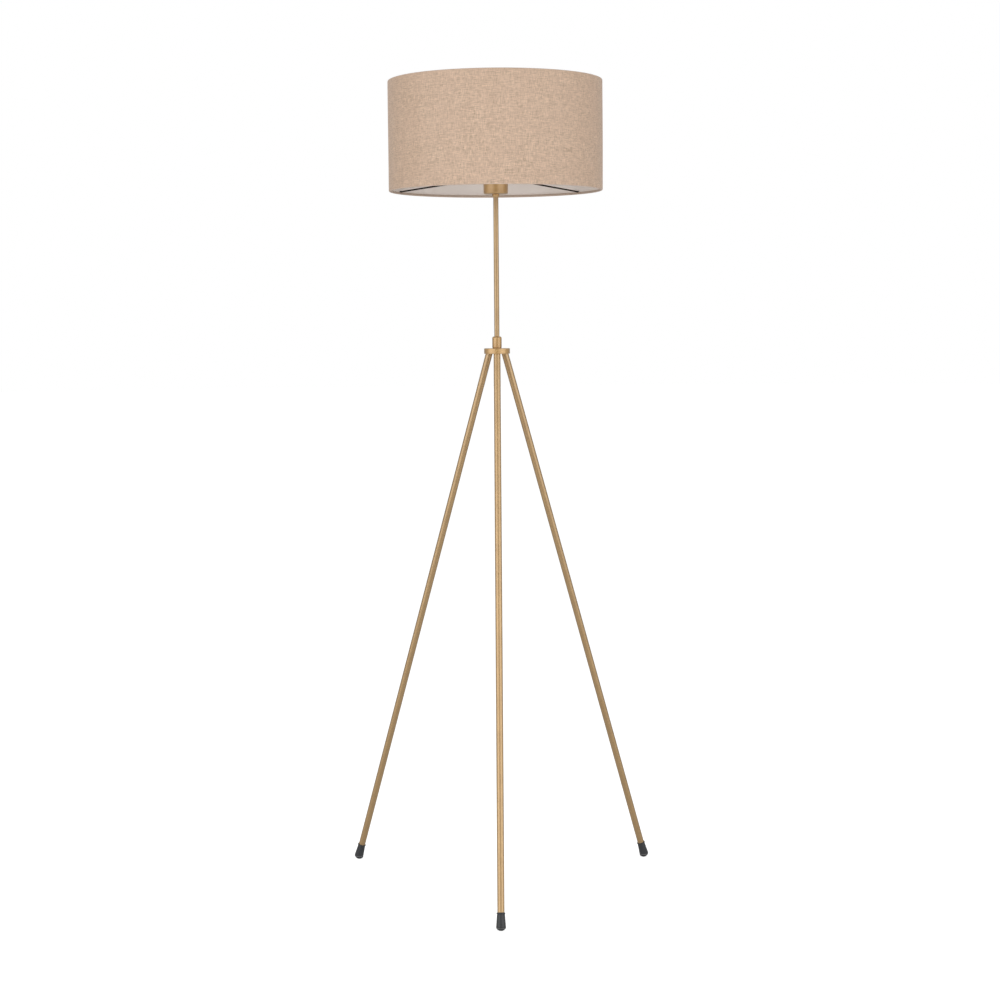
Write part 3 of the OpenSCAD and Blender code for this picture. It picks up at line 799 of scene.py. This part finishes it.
FINISH = {
    "antique_brass": turned_brass("antique_brass_turned"),
    "zinc_steel": plated("zinc_steel", (0.62, 0.63, 0.65), (0.42, 0.43, 0.45), 0.34),
    "black_phenolic": moulded("black_phenolic", (0.012, 0.012, 0.013), (0.02, 0.02, 0.021), 0.34),
    "ceramic": moulded("ceramic", (0.74, 0.70, 0.62), (0.82, 0.79, 0.72), 0.55, 900, 0.05),
    "contact_brass": plated("contact_brass", (0.72, 0.52, 0.20), (0.5, 0.34, 0.12), 0.28),
    "nickel_plate": plated("nickel_plate", (0.66, 0.63, 0.57), (0.48, 0.46, 0.42), 0.26),
    "brown_insulation": moulded("brown_insulation", (0.12, 0.045, 0.015), (0.18, 0.07, 0.025), 0.4),
    "blue_insulation": moulded("blue_insulation", (0.02, 0.09, 0.36), (0.035, 0.14, 0.48), 0.4),
    "linen": linen("linen_weave", 3 * MM, shade_h),
    "white_lining": film("white_lining"),
    "dark_wire": dark_lacquer("dark_wire"),
    "white_plastic": moulded("white_plastic", (0.78, 0.78, 0.76), (0.84, 0.84, 0.82), 0.36),
    "opal_plastic": opal("opal_plastic"),
    "circuit_board": moulded("circuit_board", (0.02, 0.14, 0.05), (0.04, 0.22, 0.09), 0.4),
    "board_aluminium": plated("board_aluminium", (0.8, 0.8, 0.8), (0.65, 0.65, 0.66), 0.4, 700),
    "phosphor": moulded("phosphor", (0.8, 0.58, 0.08), (0.9, 0.7, 0.14), 0.3),
}
DRAWN = {f"leg_{i}": drawn_brass(f"antique_brass_leg_{i}", LEG_FRAMES[i], LEG_PAINTED_SHADE[i])
         for i in (1, 2, 3)}
DRAWN.update({f"leg_plug_{i}": DRAWN[f"leg_{i}"] for i in (1, 2, 3)})
DRAWN["pole_tube"] = drawn_brass("antique_brass_pole", Matrix.Identity(4), POLE_PAINTED_SHADE)
RUBBER = {f"foot_{i}": foot_rubber(f"foot_rubber_{i}", LEG_FRAMES[i]) for i in (1, 2, 3)}


def finish_cad_nodes():
    """Gives each CAD node that still shows its finish."""
    for node, piece in frame["nodes"].items():
        material = DRAWN.get(node) or RUBBER.get(node) or FINISH[SLOT_OF[node]]
        piece.data.materials.clear()
        piece.data.materials.append(material)


# ---- camera, lights and floor ----

EYE = Vector((0.0139, -3.799, 1.057))
PITCH_DOWN = 0.0870
TURN_LEFT = 0.0028
ROLL_ANGLE = -0.0081
LENS = 73.31
SENSOR_WIDTH = 36


def make_camera():
    data = bpy.data.cameras.new("camera")
    data.lens = LENS
    data.sensor_width = SENSOR_WIDTH
    camera = bpy.data.objects.new("camera", data)
    bpy.context.scene.collection.objects.link(camera)
    camera.matrix_world = (Matrix.Translation(EYE) @ Matrix.Rotation(TURN_LEFT, 4, "Z")
                           @ Matrix.Rotation(math.pi / 2 - PITCH_DOWN, 4, "X")
                           @ Matrix.Rotation(ROLL_ANGLE, 4, "Z"))
    bpy.context.scene.camera = camera


AIM = Vector((0, 0, 0.9))


def softbox(name, azimuth, distance, height, width, tall, power):
    """A large soft light at an azimuth from the camera's side, aimed at the lamp's middle."""
    data = bpy.data.lights.new(name, "AREA")
    data.shape = "RECTANGLE"
    data.size, data.size_y, data.energy = width, tall, power
    light = bpy.data.objects.new(name, data)
    bpy.context.scene.collection.objects.link(light)
    a = math.radians(azimuth)
    light.location = Vector((math.sin(a) * distance, -math.cos(a) * distance, height))
    aim = AIM - light.location
    light.rotation_mode = "QUATERNION"
    light.rotation_quaternion = aim.to_track_quat("-Z", "Y")
    light.visible_camera = False


# The room's light along Y, front to back, and along Z: from, to, strength there and there
ROOM_DEPTH = (-1.0, 0.1, 0.37, 0.52)
ROOM_HEIGHT = (-0.3, 0.8, 0.0, 0.1)


def make_world():
    """White where the camera looks past the object. Its light and reflections come from a
    room that is a little brighter behind and above than in front."""
    world = bpy.data.worlds.new("studio")
    bpy.context.scene.world = world
    world.use_nodes = True
    nodes, links = world.node_tree.nodes, world.node_tree.links
    nodes.clear()
    out = nodes.new("ShaderNodeOutputWorld")
    mix = nodes.new("ShaderNodeMixShader")
    path = nodes.new("ShaderNodeLightPath")
    seen = nodes.new("ShaderNodeBackground")
    seen.inputs["Strength"].default_value = 1.0
    seen.inputs["Color"].default_value = (1, 1, 1, 1)
    room = nodes.new("ShaderNodeBackground")
    coord = nodes.new("ShaderNodeTexCoord")
    split = nodes.new("ShaderNodeSeparateXYZ")
    links.new(coord.outputs["Generated"], split.inputs[0])
    parts = []
    for axis, (from_low, from_high, low, high) in (("Y", ROOM_DEPTH), ("Z", ROOM_HEIGHT)):
        ramp = nodes.new("ShaderNodeMapRange")
        ramp.inputs["From Min"].default_value = from_low
        ramp.inputs["From Max"].default_value = from_high
        ramp.inputs["To Min"].default_value = low
        ramp.inputs["To Max"].default_value = high
        links.new(split.outputs[axis], ramp.inputs["Value"])
        parts.append(ramp.outputs[0])
    strength = nodes.new("ShaderNodeMath")
    strength.operation = "ADD"
    links.new(parts[0], strength.inputs[0])
    links.new(parts[1], strength.inputs[1])
    links.new(strength.outputs[0], room.inputs["Strength"])
    links.new(path.outputs["Is Camera Ray"], mix.inputs[0])
    links.new(room.outputs[0], mix.inputs[1])
    links.new(seen.outputs[0], mix.inputs[2])
    links.new(mix.outputs[0], out.inputs["Surface"])


# How brightly the camera sees the floor glow, and how much light the floor gives back
FLOOR_GLOW = 0.72
FLOOR_BOUNCE = 0.82


def make_floor():
    """A plain white floor that can't be seen from below."""
    bm = bmesh.new()
    bmesh.ops.create_circle(bm, cap_ends=True, radius=30, segments=64)
    mesh = bpy.data.meshes.new("floor")
    bm.to_mesh(mesh)
    bm.free()
    floor = bpy.data.objects.new("floor", mesh)
    bpy.context.scene.collection.objects.link(floor)
    material = bpy.data.materials.new("white_floor")
    material.use_nodes = True
    nodes, links = material.node_tree.nodes, material.node_tree.links
    seen = nodes["Principled BSDF"]
    lit = nodes.new("ShaderNodeBsdfPrincipled")
    for shader, grey, glow in ((seen, 0.8, FLOOR_GLOW), (lit, FLOOR_BOUNCE, 0.0)):
        shader.inputs["Base Color"].default_value = (grey, grey, grey, 1)
        shader.inputs["Roughness"].default_value = 0.9
        shader.inputs["Specular IOR Level"].default_value = 0.0
        shader.inputs["Emission Color"].default_value = (1, 1, 1, 1)
        shader.inputs["Emission Strength"].default_value = glow
    path = nodes.new("ShaderNodeLightPath")
    geometry = nodes.new("ShaderNodeNewGeometry")
    clear = nodes.new("ShaderNodeBsdfTransparent")
    top, both = nodes.new("ShaderNodeMixShader"), nodes.new("ShaderNodeMixShader")
    links.new(path.outputs["Is Camera Ray"], top.inputs[0])
    links.new(lit.outputs[0], top.inputs[1])
    links.new(seen.outputs[0], top.inputs[2])
    links.new(geometry.outputs["Backfacing"], both.inputs[0])
    links.new(top.outputs[0], both.inputs[1])
    links.new(clear.outputs[0], both.inputs[2])
    links.new(both.outputs[0], nodes["Material Output"].inputs["Surface"])
    mesh.materials.append(material)


# Name, azimuth from the camera's side, distance, height, width, tallness and power
SOFTBOXES = (
    ("softbox_left", -49, 3.0, 1.35, 3.4, 2.6, 37),
    ("softbox_right", 49, 3.0, 1.35, 3.4, 2.6, 34),
    ("softbox_above", 0, 2.4, 3.4, 2.2, 1.2, 4),
)


def make_studio():
    bpy.context.scene.view_settings.view_transform = "Standard"
    make_camera()
    make_world()
    make_floor()
    for name, azimuth, distance, height, width, tall, power in SOFTBOXES:
        softbox(name, azimuth, distance, height, width, tall, power)


make_studio()
finish_cad_nodes()
for leg_number in (1, 2, 3):
    make_foot(leg_number)
make_hub()
make_centre_fasteners()
make_cup()
make_holder_threads()
make_bulb()
make_carrier()
make_shade()
